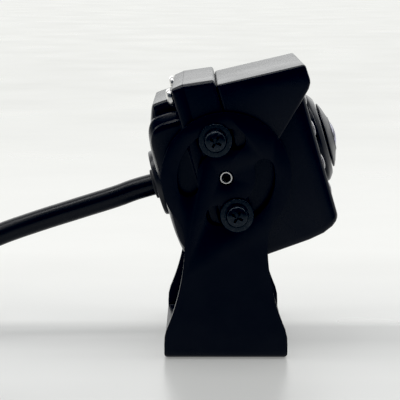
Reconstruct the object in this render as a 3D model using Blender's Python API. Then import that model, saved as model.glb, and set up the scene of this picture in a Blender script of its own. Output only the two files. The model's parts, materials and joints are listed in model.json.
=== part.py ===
"""Backup camera: a die-cast camera head that tilts between the slotted arms of a U-bracket.

Frame: +X is the way the lens looks, +Y runs along the tilt axis and +Z is up. The origin is the centre of
the bracket's underside. Lengths are in millimetres and angles in degrees; MM turns lengths into metres.
The head's pieces are modelled with the lens axis level and the tilt axis at their origin, and hang on one
empty that stands on the tilt axis and holds the tilt.
"""

import math

import bmesh
import bpy
from mathutils import Matrix, Vector

MM = 0.001
GAP = 0.3
ARC_STEP = 15.0
SMOOTH_ANGLE = 35.0

# Bracket
PIVOT_HEIGHT = 55.4
ARM_OUTER = 36.0
SHEET = 2.7
DISC_RADIUS = 19.5
NECK_HALF = 12.5
NECK_FILLET = 12.0
FLARE_RADIUS = 67.0
FLARE_END = 9.0
FOOT_HALF = 18.67
FOOT_SIDE_HEIGHT = 4.6
FOOT_CORNER = 1.6
BEND_RADIUS = 3.2
SLOT_RADIUS = 11.7
SLOT_WIDTH = 6.0
SLOT_LOW = (-104.6, 14.0)
PIVOT_HOLE = 2.2
BASE_HOLE = 2.6
BASE_HOLES = [(x, y) for x in (-10.5, 10.5) for y in (-20.0, 20.0)]

# Camera head, measured from the tilt axis: u forwards along the lens axis, v up
TILT = 16.1
SIDE = 31.0
BAND_SIDE = 33.0
BAND_TOP = 30.3
BAND_BOTTOM = -30.1
BAND_REAR = -4.9
BAND_FRONT = 4.6
FLANGE_FRONT = -5.2
FLANGE_REAR = -8.7
BAND_CORNER = 1.6
FRONT_FACE = 29.3
WALL = 2.3
COVER_SEAT = -20.2
GLAND_RADIUS = 10.7
GLAND_REAR = -22.5
GROMMET_REAR = -23.7
VISOR_SIDE = 32.8
VISOR_SHEET = 1.3

# Fasteners
TILT_SCREW_RADIUS = 11.7
BOSS_RADIUS = 2.8
M4 = 2.0
M4_HEAD = 3.4
M3 = 1.25
M3_HEAD = 2.75
COVER_SCREWS = [(y, v) for y in (-28.5, 28.5) for v in (-26.6, 27.2)]

# Front optics
LED_CIRCLE = 20.5
LED_ANGLES = (15.0, 45.0, 135.0, 165.0, 195.0, 225.0, 315.0, 345.0)
LED_RADIUS = 2.5
LED_SHOULDER = 30.0
LED_DOME = 1.2
LED_BOARD_FRONT = 23.4
SENSOR_WINDOW = (0.0, -18.6)
BEZEL_RADIUS = 14.3

# Cable
CABLE_RADIUS = 3.5
COIL_CENTRE = (-122.0, 20.0)
COIL_INNER = 34.0
COIL_PITCH = 7.2
COIL_TURNS = 1.25
COIL_HEIGHT = 7.6
LEAD_ROUTE = [
    (-35.0, 0.0, 44.8),
    (-48.0, 0.0, 40.7),
    (-60.0, -0.2, 36.9),
    (-72.0, -1.6, 32.8),
    (-83.0, -4.8, 28.0),
    (-93.0, -8.7, 22.2),
    (-102.0, -11.8, 16.3),
    (-111.0, -13.5, 11.7),
]
PLUG_START = 24.0
PLUG_AXIS_HEIGHT = 8.2


# ---------------------------------------------------------------- materials


def finish(name, colour, roughness, metallic=0.0):
    """A Principled material, made once per name."""
    made = bpy.data.materials.get(name)
    if made:
        return made
    made = bpy.data.materials.new(name)
    made.use_nodes = True
    shader = made.node_tree.nodes["Principled BSDF"]
    shader.inputs["Base Color"].default_value = (*colour, 1.0)
    shader.inputs["Roughness"].default_value = roughness
    shader.inputs["Metallic"].default_value = metallic
    return made


def black_coat():
    return finish("black_powder_coat", (0.012, 0.014, 0.022), 0.42)


def black_steel():
    return finish("black_oxide_steel", (0.02, 0.02, 0.024), 0.3, 0.8)


def bright_steel():
    return finish("stainless_steel", (0.72, 0.72, 0.7), 0.25, 1.0)


def rubber():
    return finish("black_rubber", (0.015, 0.015, 0.016), 0.7)


def jacket():
    return finish("cable_jacket", (0.014, 0.015, 0.018), 0.5)


def black_plastic():
    return finish("black_plastic", (0.015, 0.015, 0.017), 0.35)


def board_green():
    return finish("circuit_board", (0.02, 0.16, 0.07), 0.4)


def glass():
    return finish("lens_glass", (0.05, 0.06, 0.09), 0.03)


def led_epoxy():
    return finish("led_epoxy", (0.05, 0.045, 0.06), 0.12)


def brass():
    return finish("brass", (0.7, 0.52, 0.25), 0.3, 1.0)


# ---------------------------------------------------------------- outlines


def arc(centre, radius, start, end, step=ARC_STEP):
    """Points on a circle from start to end, both included, no further apart than step degrees."""
    count = max(1, math.ceil(abs(end - start) / step))
    angles = [math.radians(start + (end - start) * i / count) for i in range(count + 1)]
    return [(centre[0] + radius * math.cos(a), centre[1] + radius * math.sin(a)) for a in angles]


def rounded_box(half_width, low, high, radius, step=ARC_STEP * 2):
    """Outline of a rectangle with round corners, across from -half_width to half_width."""
    x, z0, z1 = half_width - radius, low + radius, high - radius
    return (
        arc((x, z0), radius, -90, 0, step)
        + arc((x, z1), radius, 0, 90, step)
        + arc((-x, z1), radius, 90, 180, step)
        + arc((-x, z0), radius, 180, 270, step)
    )


def arc_slot(radius, width, start, end):
    """Outline of a slot with round ends along an arc about the origin."""
    first, last = math.radians(start), math.radians(end)
    near = (radius * math.cos(first), radius * math.sin(first))
    far = (radius * math.cos(last), radius * math.sin(last))
    half = width / 2
    return (
        arc((0, 0), radius + half, start, end, 10)
        + arc(far, half, end, end + 180, 30)[1:-1]
        + arc((0, 0), radius - half, end, start, 12)
        + arc(near, half, start + 180, start + 360, 30)[1:-1]
    )


def arm_outline():
    """Side view of an arm: a disc on a waisted neck that flares down to the foot."""
    fillet_centre_x = NECK_HALF + NECK_FILLET
    reach = DISC_RADIUS + NECK_FILLET
    drop = math.sqrt(reach**2 - fillet_centre_x**2)
    join = math.degrees(math.atan2(drop, fillet_centre_x))
    neck_z = PIVOT_HEIGHT - drop
    flare_centre = (NECK_HALF + FLARE_RADIUS, neck_z)
    flare_angle = math.degrees(math.asin((neck_z - FLARE_END) / FLARE_RADIUS))
    foot = (FOOT_HALF - FOOT_CORNER, FOOT_CORNER)
    right = (
        arc(foot, FOOT_CORNER, -90, 0, 30)
        + [(FOOT_HALF, FOOT_SIDE_HEIGHT)]
        + arc(flare_centre, FLARE_RADIUS, 180 + flare_angle, 180, 5)
        + arc((fillet_centre_x, neck_z), NECK_FILLET, 180, 180 - join, 10)[1:]
    )
    disc = arc((0, PIVOT_HEIGHT), DISC_RADIUS, -join, 180 + join, 10)[1:-1]
    left = [(-x, z) for x, z in reversed(right)]
    return right + disc + left


def bent_sheet_outline():
    """Section of the U across the bracket, as a sheet of even thickness with round bends."""
    top = PIVOT_HEIGHT + DISC_RADIUS + 1
    inner = ARM_OUTER - SHEET
    bend_y = ARM_OUTER - BEND_RADIUS
    inner_radius = BEND_RADIUS - SHEET
    outside = [(-ARM_OUTER, top)]
    outside += arc((-bend_y, BEND_RADIUS), BEND_RADIUS, 180, 270, 30)
    outside += arc((bend_y, BEND_RADIUS), BEND_RADIUS, 270, 360, 30)
    outside += [(ARM_OUTER, top), (inner, top)]
    inside = arc((bend_y, BEND_RADIUS), inner_radius, 0, -90, 45)
    inside += arc((-bend_y, BEND_RADIUS), inner_radius, -90, -180, 45)
    return outside + inside + [(-inner, top)]


# ---------------------------------------------------------------- solids


def place(axis):
    """Maps (across, up, along) to (x, y, z) for a solid drawn along that axis."""
    return {
        "X": lambda a, b, c: (c, a, b),
        "Y": lambda a, b, c: (a, c, b),
        "Z": lambda a, b, c: (a, b, c),
    }[axis]


def sew(bm):
    bmesh.ops.recalc_face_normals(bm, faces=bm.faces)
    if bm.calc_volume(signed=True) < 0:
        bmesh.ops.reverse_faces(bm, faces=bm.faces)
    return bm


def loft(sections, axis="X", bm=None):
    """A solid through outlines of equal point count, each given as (along, outline)."""
    bm = bm or bmesh.new()
    put = place(axis)
    rings = [[bm.verts.new(put(a, b, along)) for a, b in outline] for along, outline in sections]
    faces = []
    for low, high in zip(rings, rings[1:]):
        for i in range(len(low)):
            j = (i + 1) % len(low)
            faces.append(bm.faces.new((low[i], low[j], high[j], high[i])))
    faces.append(bm.faces.new(list(reversed(rings[0]))))
    faces.append(bm.faces.new(rings[-1]))
    bmesh.ops.recalc_face_normals(bm, faces=faces)
    return bm


def prism(outline, low, high, axis="Y", bm=None):
    return loft([(low, outline), (high, outline)], axis, bm)


def turned(profile, axis="X", centre=(0.0, 0.0), steps=28, bm=None):
    """A body of revolution. The profile lists (along, radius): a closed loop, or it starts and ends at 0."""
    bm = bm or bmesh.new()
    put = place(axis)
    turns = [2 * math.pi * i / steps for i in range(steps)]
    rings = []
    for along, radius in profile:
        if radius < 1e-6:
            rings.append([bm.verts.new(put(centre[0], centre[1], along))])
        else:
            spots = [(centre[0] + radius * math.cos(t), centre[1] + radius * math.sin(t)) for t in turns]
            rings.append([bm.verts.new(put(a, b, along)) for a, b in spots])
    pairs = list(zip(rings, rings[1:]))
    if len(rings[0]) > 1:
        pairs.append((rings[-1], rings[0]))
    faces = []
    for first, second in pairs:
        for i in range(steps):
            j = (i + 1) % steps
            corners = [first[i % len(first)], first[j % len(first)]]
            corners += [second[j % len(second)], second[i % len(second)]]
            faces.append(bm.faces.new(list(dict.fromkeys(corners))))
    bmesh.ops.recalc_face_normals(bm, faces=faces)
    return bm


def rod(radius, low, high, axis="X", centre=(0.0, 0.0), steps=16, bm=None):
    return turned([(low, 0), (low, radius), (high, radius), (high, 0)], axis, centre, steps, bm)


def tube(outer, inner, low, high, axis="X", centre=(0.0, 0.0), steps=20, bm=None):
    return turned([(low, inner), (low, outer), (high, outer), (high, inner)], axis, centre, steps, bm)


def box(low, high, bm=None):
    outline = [(low[0], low[2]), (high[0], low[2]), (high[0], high[2]), (low[0], high[2])]
    return prism(outline, low[1], high[1], "Y", bm)


# ---------------------------------------------------------------- objects


def make(name, bm, material, parent=None):
    """An object from a solid drawn in millimetres."""
    sew(bm)
    bmesh.ops.scale(bm, vec=Vector((MM, MM, MM)), verts=bm.verts)
    mesh = bpy.data.meshes.new(name)
    bm.to_mesh(mesh)
    bm.free()
    mesh.shade_smooth()
    mesh.set_sharp_from_angle(angle=math.radians(SMOOTH_ANGLE))
    mesh.materials.append(material)
    made = bpy.data.objects.new(name, mesh)
    bpy.context.scene.collection.objects.link(made)
    made.parent = parent
    return made


def combine(target, bm, operation, name):
    """Adds a Boolean to the target, with a hidden helper that shares its parent."""
    helper = make(name, bm, target.data.materials[0], target.parent)
    helper.hide_render = True
    helper.display_type = "WIRE"
    step = target.modifiers.new(name, "BOOLEAN")
    step.operation = operation
    step.object = helper
    return target


def cut(target, bm, name):
    return combine(target, bm, "DIFFERENCE", name)


def join(target, bm, name):
    return combine(target, bm, "UNION", name)


# ---------------------------------------------------------------- bracket


def bracket():
    made = make("bracket", prism(bent_sheet_outline(), -FOOT_HALF - 1, FOOT_HALF + 1, "X"), black_coat())
    combine(made, prism(arm_outline(), -ARM_OUTER - 2, ARM_OUTER + 2), "INTERSECT", "bracket_side_view")
    holes = bmesh.new()
    for turn in (0.0, 180.0):
        outline = arc_slot(SLOT_RADIUS, SLOT_WIDTH, SLOT_LOW[0] + turn, SLOT_LOW[1] + turn)
        prism([(x, z + PIVOT_HEIGHT) for x, z in outline], -ARM_OUTER - 3, ARM_OUTER + 3, "Y", holes)
    rod(PIVOT_HOLE, -ARM_OUTER - 3, ARM_OUTER + 3, "Y", (0, PIVOT_HEIGHT), 20, holes)
    for x, y in BASE_HOLES:
        rod(BASE_HOLE, -2, SHEET + 2, "Z", (x, y), 16, holes)
    return cut(made, holes, "bracket_holes")


# ---------------------------------------------------------------- housing


def led_spots():
    turns = [math.radians(angle) for angle in LED_ANGLES]
    return [(LED_CIRCLE * math.cos(turn), LED_CIRCLE * math.sin(turn)) for turn in turns]


def housing_sections():
    return [
        (BAND_REAR, rounded_box(SIDE, -27.6, 25.5, 3.0)),
        (19.0, rounded_box(30.6, -26.1, 24.5, 3.0)),
        (24.0, rounded_box(30.5, -25.2, 24.3, 3.0)),
        (26.8, rounded_box(30.4, -24.1, 24.1, 3.0)),
        (28.3, rounded_box(29.9, -23.0, 23.6, 2.7)),
        (29.0, rounded_box(29.1, -22.1, 22.8, 2.4)),
        (FRONT_FACE, rounded_box(28.3, -21.4, 21.9, 2.2)),
    ]


def front_housing(head):
    made = make("front_housing", loft(housing_sections()), black_coat(), head)
    band = [
        (BAND_REAR, rounded_box(BAND_SIDE, BAND_BOTTOM, BAND_TOP, BAND_CORNER)),
        (BAND_FRONT - 1.0, rounded_box(BAND_SIDE, BAND_BOTTOM + 0.8, BAND_TOP - 1.2, BAND_CORNER)),
        (BAND_FRONT - 0.3, rounded_box(BAND_SIDE - 0.3, BAND_BOTTOM + 1.1, BAND_TOP - 1.6, BAND_CORNER)),
        (BAND_FRONT, rounded_box(BAND_SIDE - 1.0, BAND_BOTTOM + 1.8, BAND_TOP - 2.4, BAND_CORNER)),
    ]
    join(made, loft(band), "housing_band")
    bosses = bmesh.new()
    for v in (-TILT_SCREW_RADIUS, TILT_SCREW_RADIUS):
        for side in (-1, 1):
            ends = sorted((side * (BAND_SIDE - 2), side * ARM_OUTER))
            rod(BOSS_RADIUS, ends[0], ends[1], "Y", (0, v), 20, bosses)
    join(made, bosses, "housing_bosses")

    hollow = [
        (BAND_REAR - 2, rounded_box(25.5, -22.0, 21.6, 3.0)),
        (7.0, rounded_box(25.5, -22.0, 21.6, 3.0)),
        (8.0, rounded_box(28.0, -22.0, 21.6, 3.0)),
        (FRONT_FACE - WALL, rounded_box(27.6, -21.0, 21.2, 3.0)),
    ]
    cut(made, loft(hollow), "housing_hollow")
    holes = bmesh.new()
    rod(8.5, 25, 32, "X", (0, 0), 32, holes)
    for spot in led_spots():
        rod(LED_RADIUS + GAP, 25, 32, "X", spot, 14, holes)
    rod(2.3, 25, 32, "X", SENSOR_WINDOW, 14, holes)
    for y, v in COVER_SCREWS:
        rod(M3 + GAP, BAND_REAR - 2, 2.5, "X", (y, v), 12, holes)
    for v in (-TILT_SCREW_RADIUS, TILT_SCREW_RADIUS):
        for side in (-1, 1):
            ends = sorted((side * 27.2, side * (ARM_OUTER + 2)))
            rod(M4 + GAP, ends[0], ends[1], "Y", (0, v), 16, holes)
    for side in (-1, 1):
        ends = sorted((side * 28.5, side * (ARM_OUTER + 2)))
        rod(PIVOT_HOLE, ends[0], ends[1], "Y", (0, 0), 20, holes)
    return cut(made, holes, "housing_holes")


def rear_cover(head):
    flange = [
        (FLANGE_REAR, rounded_box(BAND_SIDE - 0.5, BAND_BOTTOM + 0.6, BAND_TOP - 0.9, BAND_CORNER)),
        (FLANGE_REAR + 0.6, rounded_box(BAND_SIDE, BAND_BOTTOM + 0.1, BAND_TOP - 0.4, BAND_CORNER)),
        (FLANGE_FRONT, rounded_box(BAND_SIDE, BAND_BOTTOM, BAND_TOP, BAND_CORNER)),
    ]
    made = make("rear_cover", loft(flange), black_coat(), head)
    pan = [
        (COVER_SEAT, rounded_box(16.5, -11.6, 11.6, 4.0)),
        (-19.4, rounded_box(22.5, -14.9, 14.9, 4.5)),
        (-18.2, rounded_box(27.6, -19.6, 19.8, 5.0)),
        (-17.0, rounded_box(29.6, -21.6, 21.8, 5.0)),
        (-15.2, rounded_box(30.7, -22.7, 22.9, 5.0)),
        (-13.0, rounded_box(SIDE, -23.0, 23.2, 5.0)),
        (FLANGE_REAR + 0.5, rounded_box(SIDE, -23.0, 23.2, 5.0)),
    ]
    join(made, loft(pan), "cover_pan")
    crown = [
        (-19.3, rounded_box(17.0, -14.4, 14.6, 2.4)),
        (-18.1, rounded_box(22.0, -20.0, 20.2, 2.4)),
        (-17.1, rounded_box(24.0, -23.0, 23.1, 2.4)),
        (-15.9, rounded_box(24.8, -25.6, 25.9, 2.4)),
        (-14.6, rounded_box(25.1, -26.0, 26.5, 2.4)),
        (FLANGE_REAR + 0.4, rounded_box(25.2, -26.2, 26.8, 2.4)),
    ]
    join(made, loft(crown), "cover_crown")
    hollow = [
        (-17.8, rounded_box(17.0, -13.0, 13.0, 3.0)),
        (-14.5, rounded_box(22.8, -21.0, 21.0, 3.0)),
        (FLANGE_FRONT + 2, rounded_box(22.8, -21.0, 21.0, 3.0)),
    ]
    cut(made, loft(hollow), "cover_hollow")
    holes = bmesh.new()
    rod(6.7, -24, -16, "X", (0, 0), 32, holes)
    for y, v in COVER_SCREWS:
        rod(M3 + GAP + 0.1, FLANGE_REAR - 2, FLANGE_FRONT + 2, "X", (y, v), 12, holes)
    return cut(made, holes, "cover_holes")


def housing_gasket(head):
    """A cord ring that lies in the step between the two hollows, just inside the joint."""
    rear = BAND_REAR + 0.4
    ring = prism(rounded_box(25.1, -21.6, 21.2, 2.8), rear, rear + 1.5, "X")
    made = make("housing_gasket", ring, rubber(), head)
    return cut(made, prism(rounded_box(23.6, -20.1, 19.7, 2.0), rear - 1, rear + 3, "X"), "gasket_inside")


def visor(head):
    outline = [
        (4.9, 3.0),
        (15.0, 3.0),
        (22.0, 9.6),
        (31.0, 18.4),
        (32.2, 20.3),
        (32.0, 25.9),
        (4.9, 27.3),
    ]
    made = make("visor", prism(outline, -VISOR_SIDE, VISOR_SIDE), black_coat(), head)
    soften = made.modifiers.new("soft_edges", "BEVEL")
    soften.width = 0.9 * MM
    soften.segments = 2
    soften.limit_method = "ANGLE"
    inside = [
        (3.0, rounded_box(SIDE + GAP, -30.0, 27.4 - VISOR_SHEET, 2.6)),
        (36.0, rounded_box(SIDE + GAP, -30.0, 25.7 - VISOR_SHEET, 2.6)),
    ]
    return cut(made, loft(inside), "visor_inside")


# ---------------------------------------------------------------- optics


def lens_stack(head):
    bezel = [
        (29.6, 8.2),
        (29.6, BEZEL_RADIUS),
        (30.6, BEZEL_RADIUS),
        (31.2, BEZEL_RADIUS - 0.4),
        (32.3, 12.3),
        (32.6, 11.5),
        (32.6, 8.2),
    ]
    make("lens_bezel", turned(bezel, steps=32), black_coat(), head)
    cap = [
        (30.2, 4.7),
        (30.2, 7.9),
        (32.9, 7.9),
        (32.9, 10.5),
        (33.2, 10.5),
        (35.0, 5.2),
        (35.2, 4.7),
    ]
    make("lens_cap", turned(cap, steps=28), black_plastic(), head)
    glass_front = [(33.0, 0), (33.0, 4.4), (34.8, 4.4), (35.4, 3.6), (35.85, 2.2), (36.05, 0)]
    make("front_glass", turned(glass_front, steps=28), glass(), head)
    barrel = [(8.0, 4.6), (8.0, 7.2), (29.9, 7.2), (29.9, 5.6), (12.0, 5.6), (11.0, 4.6)]
    make("lens_barrel", turned(barrel, steps=20), black_plastic(), head)
    for number, (rear, front, bulge) in enumerate(((14.0, 17.0, 0.8), (24.0, 27.0, 1.0)), 1):
        profile = [(rear, 0), (rear, 5.2), (front, 5.2), (front + bulge * 0.7, 2.8), (front + bulge, 0)]
        make(f"lens_element_{number}", turned(profile, steps=24), glass(), head)
    holder = make("lens_holder", box((3.9, -9.5, -9.5), (12.5, 9.5, 9.5)), black_plastic(), head)
    cut(holder, turned([(3.0, 0), (3.0, 5.0), (7.6, 5.0), (7.6, 7.5), (14.0, 7.5), (14.0, 0)]), "holder_bore")


def front_lamps(head):
    """The infrared LEDs stand on their board and look out through the front wall."""
    dome = [(a, LED_RADIUS * math.cos(a)) for a in (0.0, math.pi / 6, math.pi / 3)]
    dome = [(LED_SHOULDER + LED_DOME * math.sin(a), r) for a, r in dome] + [(LED_SHOULDER + LED_DOME, 0)]
    for number, spot in enumerate(led_spots(), 1):
        profile = [(LED_BOARD_FRONT + GAP, 0), (LED_BOARD_FRONT + GAP, LED_RADIUS)] + dome
        make(f"ir_led_{number}", turned(profile, centre=spot, steps=14), led_epoxy(), head)
    window = rod(2.0, LED_BOARD_FRONT + GAP, FRONT_FACE - GAP, centre=SENSOR_WINDOW, steps=18)
    make("light_sensor", window, led_epoxy(), head)


# ---------------------------------------------------------------- electronics


def board(name, low, high, half_y, half_v, head, centre_hole=0.0):
    made = make(name, prism(rounded_box(half_y, -half_v, half_v, 2.0), low, high, "X"), board_green(), head)
    if centre_hole:
        cut(made, rod(centre_hole, low - 1, high + 1, "X", (0, 0), 28), name + "_hole")


def board_frame(head):
    """A moulded frame of four posts and cross bars that keeps the three boards apart."""
    posts = [(y, v) for y in (-19.5, 19.5) for v in (-15.2, 15.2)]
    made = make("board_frame", box((5.2, -21.3, -17.3), (7.4, 21.3, 17.3)), black_plastic(), head)
    cut(made, box((4.0, -17.6, -13.2), (8.6, 17.6, 13.2)), "frame_window")
    for low, high, name in ((3.9, 6.0, "frame_rear_posts"), (6.6, 21.5, "frame_front_posts")):
        bm = bmesh.new()
        for spot in posts:
            rod(1.7, low, high, "X", spot, 12, bm)
        join(made, bm, name)


def electronics(head):
    board("led_board", LED_BOARD_FRONT - 1.6, LED_BOARD_FRONT, 25.0, 20.4, head, 8.2)
    board("sensor_board", 2.0, 3.6, 21.5, 17.6, head)
    board("power_board", -8.6, -7.0, 20.5, 17.6, head)
    board_frame(head)
    make("image_sensor", box((3.9, -3.4, -2.6), (5.2, 3.4, 2.6)), black_plastic(), head)
    make("board_link", box((-6.7, -8.0, -16.5), (1.7, 8.0, -12.5)), black_plastic(), head)
    make("lead_socket", box((-12.4, -5.0, -4.0), (-8.9, 5.0, 4.0)), black_plastic(), head)


# ---------------------------------------------------------------- fasteners


def pan_head(root, crown, radius):
    """Profile of a pan head from its seat to its crown, on a shaft that the caller adds."""
    way = 1 if crown > root else -1
    tall = abs(crown - root)
    return [
        (root, radius),
        (root + way * tall * 0.45, radius),
        (root + way * tall * 0.8, radius * 0.86),
        (crown, radius * 0.55),
        (crown, radius * 0.3),
        (crown - way * tall * 0.5, radius * 0.2),
        (crown - way * tall * 0.5, 0),
    ]


def cover_screws(head):
    seat = FLANGE_REAR - GAP
    profile = [(2.0, 0), (2.0, M3), (seat, M3)] + pan_head(seat, seat - 1.7, M3_HEAD)
    for number, spot in enumerate(COVER_SCREWS, 1):
        make(f"cover_screw_{number}", turned(profile, centre=spot, steps=14), bright_steel(), head)


def tilt_hardware(head):
    """Two screws on each side, each with a split washer on a flat one, clamp the arm to the head."""
    washer = ARM_OUTER + GAP
    spring = washer + 0.8 + GAP
    seat = spring + 0.9 + GAP
    number = 0
    for side in (-1, 1):
        for v in (-TILT_SCREW_RADIUS, TILT_SCREW_RADIUS):
            number += 1
            spot = (0.0, v)
            shaft = [(side * 28.2, 0), (side * 28.2, M4 - 0.1), (side * seat, M4 - 0.1)]
            screw = turned(shaft + pan_head(side * seat, side * (seat + 2.6), M4_HEAD), "Y", spot, 16)
            make(f"tilt_screw_{number}", screw, black_steel(), head)
            flat = sorted((side * washer, side * (washer + 0.8)))
            make(f"flat_washer_{number}", tube(5.0, 2.3, flat[0], flat[1], "Y", spot), black_steel(), head)
            split = sorted((side * spring, side * (spring + 0.9)))
            spring_ring = tube(3.6, 2.3, split[0], split[1], "Y", spot)
            make(f"spring_washer_{number}", spring_ring, black_steel(), head)


def pivot_bushes(head):
    for number, side in enumerate((-1, 1), 1):
        ends = sorted((side * 28.8, side * (ARM_OUTER - 0.1)))
        make(f"pivot_bush_{number}", tube(1.85, 1.2, ends[0], ends[1], "Y"), bright_steel(), head)


# ---------------------------------------------------------------- cable and its entry


def cable_entry(head):
    gland = [
        (-15.2, 5.0),
        (-15.2, 6.4),
        (COVER_SEAT - GAP, 6.4),
        (COVER_SEAT - GAP, GLAND_RADIUS),
        (GLAND_REAR + 0.5, GLAND_RADIUS),
        (GLAND_REAR, GLAND_RADIUS - 0.5),
        (GLAND_REAR, 5.0),
    ]
    make("cable_gland", turned(gland, steps=32), black_plastic(), head)
    make("cable_grommet", tube(4.7, 3.8, GROMMET_REAR, -14.9), rubber(), head)
    nut = [(9.0 * math.cos(math.radians(a)), 9.0 * math.sin(math.radians(a))) for a in range(0, 360, 60)]
    lock = make("gland_nut", prism(nut, -17.5, -15.3, "X"), brass(), head)
    cut(lock, rod(6.7, -19, -14, "X", (0, 0), 28), "nut_bore")
    make("inner_lead", rod(CABLE_RADIUS, GROMMET_REAR + 0.1, -12.7), jacket(), head)
    make("lead_clip", tube(5.6, 3.8, -14.6, -13.1), black_plastic(), head)


def spline_point(a, b, c, d, t):
    """The point t of the way from b to c on a Catmull-Rom curve."""
    square = 2 * a - 5 * b + 4 * c - d
    cube = 3 * b - a - 3 * c + d
    return 0.5 * (2 * b + (c - a) * t + square * t**2 + cube * t**3)


def smooth_route(points, spacing):
    """Points every spacing along a Catmull-Rom curve through the given ones."""
    spots = [Vector(p) for p in points]
    ends = [spots[0] * 2 - spots[1]] + spots + [spots[-1] * 2 - spots[-2]]
    dense = []
    for a, b, c, d in zip(ends, ends[1:], ends[2:], ends[3:]):
        dense += [spline_point(a, b, c, d, i / 20) for i in range(20)]
    dense.append(spots[-1])
    kept = [dense[0]]
    walked = 0.0
    for before, after in zip(dense, dense[1:]):
        walked += (after - before).length
        if walked >= spacing:
            kept.append(after)
            walked = 0.0
    if (kept[-1] - dense[-1]).length > spacing * 0.4:
        kept.append(dense[-1])
    else:
        kept[-1] = dense[-1]
    return kept


def lead(head_to_world):
    start = head_to_world @ Vector((GROMMET_REAR - GAP, 0, 0))
    straight = head_to_world @ Vector((GROMMET_REAR - 6, 0, 0))
    route = smooth_route([start, straight] + LEAD_ROUTE, 9.0)
    data = bpy.data.curves.new("camera_cable", "CURVE")
    data.dimensions = "3D"
    data.bevel_depth = CABLE_RADIUS * MM
    data.bevel_resolution = 3
    data.use_fill_caps = True
    spline = data.splines.new("POLY")
    spline.points.add(len(route) - 1)
    for point, spot in zip(spline.points, route):
        point.co = (*(spot * MM), 1.0)
    data.materials.append(jacket())
    bpy.context.scene.collection.objects.link(bpy.data.objects.new("camera_cable", data))


def coil():
    """The outer shape of the coiled turns, in one plain ring."""
    outer = COIL_INNER + COIL_PITCH + CABLE_RADIUS + 0.1
    inner = COIL_INNER - CABLE_RADIUS - 0.1
    make("cable_coil", tube(outer, inner, 0.0, COIL_HEIGHT, "Z", COIL_CENTRE, 48), jacket())


def plug():
    """The cable's end connector, which lies beside the coil and points along +Y."""
    x = COIL_CENTRE[0] - COIL_INNER - COIL_PITCH * COIL_TURNS
    y = COIL_CENTRE[1] + PLUG_START
    spot = (x, PLUG_AXIS_HEIGHT)
    overmould = [(0, 0), (0, 4.4), (11, 5.6), (12, 7.0), (13, 7.6), (20, 7.6), (20, 0)]
    make("plug_overmould", turned([(y + s, r) for s, r in overmould], "Y", spot, 20), rubber())
    shell = [(20.3, 6.2), (20.3, 7.9), (20.8, 8.2), (27.2, 8.2), (27.2, 7.1), (38.0, 7.1), (38.0, 6.2)]
    make("plug_shell", turned([(y + s, r) for s, r in shell], "Y", spot, 24), bright_steel())
    insert = make("plug_insert", rod(5.9, y + 20.4, y + 36.4, "Y", spot, 24), black_plastic())
    pockets = bmesh.new()
    for number in range(1, 5):
        turn = math.radians(90 * number - 45)
        hole = (spot[0] + 3.1 * math.cos(turn), spot[1] + 3.1 * math.sin(turn))
        rod(1.2, y + 28.0, y + 38.0, "Y", hole, 10, pockets)
        if number <= 1:
            make("plug_contact", tube(0.85, 0.5, y + 28.4, y + 36.0, "Y", hole, 12), brass())
    cut(insert, pockets, "insert_pockets")
    make("plug_seal", tube(7.9, 7.4, y + 27.5, y + 28.9, "Y", spot, 20), rubber())


def build():
    for old in list(bpy.data.objects):
        bpy.data.objects.remove(old, do_unlink=True)
    head = bpy.data.objects.new("camera_head", None)
    bpy.context.scene.collection.objects.link(head)
    head.location = (0, 0, PIVOT_HEIGHT * MM)
    head.rotation_euler = (0, -math.radians(TILT), 0)
    head_to_world = Matrix.Translation((0, 0, PIVOT_HEIGHT)) @ Matrix.Rotation(-math.radians(TILT), 4, "Y")

    bracket()
    front_housing(head)
    rear_cover(head)
    housing_gasket(head)
    visor(head)
    lens_stack(head)
    front_lamps(head)
    electronics(head)
    cover_screws(head)
    tilt_hardware(head)
    pivot_bushes(head)
    cable_entry(head)
    lead(head_to_world)
    coil()
    plug()


build()
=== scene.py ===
"""Looks of the backup camera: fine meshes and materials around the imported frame.

Frame: +X is the way the lens looks, +Y runs along the tilt axis and +Z is up, origin at the centre of the
bracket's underside. Shapes are drawn in millimetres and scaled by MM. The head's pieces are drawn with the
lens axis level and the tilt axis at their origin, then placed by HEAD.
"""

import json
import math

import bmesh
import bpy
from mathutils import Matrix, Vector


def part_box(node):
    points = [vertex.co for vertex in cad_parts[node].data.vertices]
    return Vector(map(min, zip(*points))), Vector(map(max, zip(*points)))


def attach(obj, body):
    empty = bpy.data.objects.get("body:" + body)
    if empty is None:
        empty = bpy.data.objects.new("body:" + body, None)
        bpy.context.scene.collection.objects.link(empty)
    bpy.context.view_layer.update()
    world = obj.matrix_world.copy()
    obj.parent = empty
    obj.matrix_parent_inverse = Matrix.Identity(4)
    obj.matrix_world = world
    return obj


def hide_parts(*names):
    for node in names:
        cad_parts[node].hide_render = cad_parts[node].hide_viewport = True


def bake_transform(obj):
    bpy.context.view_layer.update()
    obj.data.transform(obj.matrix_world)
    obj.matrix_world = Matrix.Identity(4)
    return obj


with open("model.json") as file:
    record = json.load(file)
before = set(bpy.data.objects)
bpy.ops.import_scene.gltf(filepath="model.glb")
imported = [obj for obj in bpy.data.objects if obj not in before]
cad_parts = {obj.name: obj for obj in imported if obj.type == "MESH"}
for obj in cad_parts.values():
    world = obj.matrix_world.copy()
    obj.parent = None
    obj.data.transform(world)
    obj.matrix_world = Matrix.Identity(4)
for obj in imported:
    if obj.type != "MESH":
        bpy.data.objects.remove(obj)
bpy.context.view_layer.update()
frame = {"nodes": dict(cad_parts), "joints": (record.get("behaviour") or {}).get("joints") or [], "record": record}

# GAP is the clearance between pieces, SEAM the joint that shows between castings, and PAST how far a cutter
# runs past what it cuts.
MM = 0.001
GAP = 0.3
SEAM = 0.06
PAST = 2.0
TILT = 16.1
TILT_JOINT = frame["joints"][0]
PIVOT_HEIGHT = TILT_JOINT["pos_m"][2] / MM
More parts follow.
